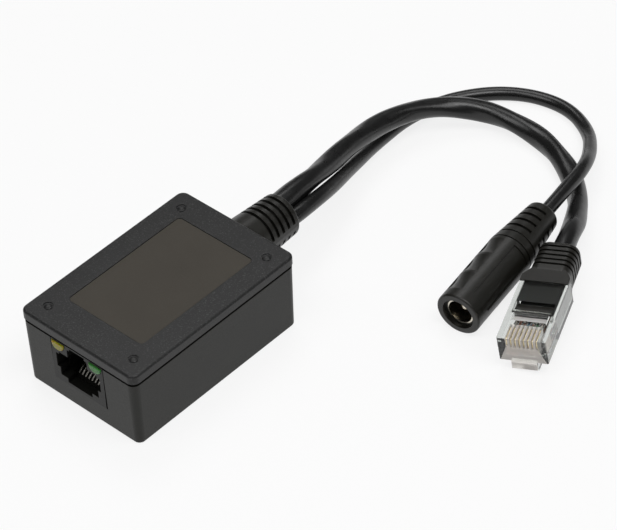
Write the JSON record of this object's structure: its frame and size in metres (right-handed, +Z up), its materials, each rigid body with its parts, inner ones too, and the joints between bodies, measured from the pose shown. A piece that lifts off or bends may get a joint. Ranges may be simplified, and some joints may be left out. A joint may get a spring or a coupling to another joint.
{
  "type": "power over ethernet splitter",
  "caption": "Small boxed power splitter with a network socket, and free network and power cables ending in a clear network plug and an in-line power socket.",
  "frame": {"origin": "middle of the case's underside", "axes": "+Y from the network socket's face to the cables, +X across the network socket, +Z up through the lid"},
  "size_m": [0.0918, 0.1545, 0.0216],
  "materials": {
    "case_plastic": "fine moulded grain",
    "label_film": "satin",
    "board": "satin solder resist",
    "socket_plastic": "smooth",
    "gold_contact": "gold plated",
    "lamp_yellow": "translucent",
    "lamp_green": "translucent",
    "tinned_lead": "tinned",
    "component_black": "moulded",
    "ferrite": "ground",
    "bobbin_plastic": "moulded",
    "winding_tape": "polyester tape",
    "capacitor_sleeve": "shrink sleeve",
    "chip_capacitor": "fired",
    "chip_resistor": "glazed",
    "soft_black": "satin",
    "cable_jacket": "extruded",
    "core_orange": "extruded",
    "core_green": "extruded",
    "core_blue": "extruded",
    "core_brown": "extruded",
    "core_striped": "extruded",
    "core_red": "extruded",
    "core_black": "extruded",
    "clear_plastic": "clear moulded",
    "nickel": "nickel plated"
  },
  "bodies": {
    "root": {"case_base": "case_plastic", "lid": "case_plastic", "label_film": "label_film", "circuit_board": "board", "network_socket_housing": "socket_plastic", "contact_carrier": "socket_plastic", "socket_contacts": "gold_contact", "lamp_yellow": "lamp_yellow", "lamp_green": "lamp_green", "lamp_leads": "tinned_lead", "line_transformer": "component_black", "line_transformer_leads": "tinned_lead", "flyback_core": "ferrite", "flyback_bobbin": "bobbin_plastic", "flyback_winding": "winding_tape", "flyback_pins": "tinned_lead", "input_capacitor": "capacitor_sleeve", "output_capacitor": "capacitor_sleeve", "capacitor_leads": "tinned_lead", "power_inductor": "ferrite", "bridge_rectifiers": "component_black", "controller_chip": "component_black", "optocoupler": "component_black", "chip_leads": "tinned_lead", "switching_transistor": "component_black", "output_diode": "component_black", "chip_capacitors": "chip_capacitor", "chip_resistors": "chip_resistor", "strain_relief": "soft_black", "core_pair_orange": "core_orange", "core_pair_green": "core_green", "core_pair_blue": "core_blue", "core_pair_brown": "core_brown", "power_core_red": "core_red", "power_core_black": "core_black", "network_cable": "cable_jacket", "power_cable": "cable_jacket", "plug_body": "clear_plastic", "plug_blades": "gold_contact", "plug_wires_striped": "core_striped", "plug_wire_orange": "core_orange", "plug_wire_blue": "core_blue", "plug_wire_green": "core_green", "plug_wire_brown": "core_brown", "plug_boot": "soft_black", "power_socket_body": "soft_black", "power_socket_sleeve": "nickel", "power_socket_insulator": "socket_plastic", "power_socket_pin": "nickel"}
  },
  "joints": []
}
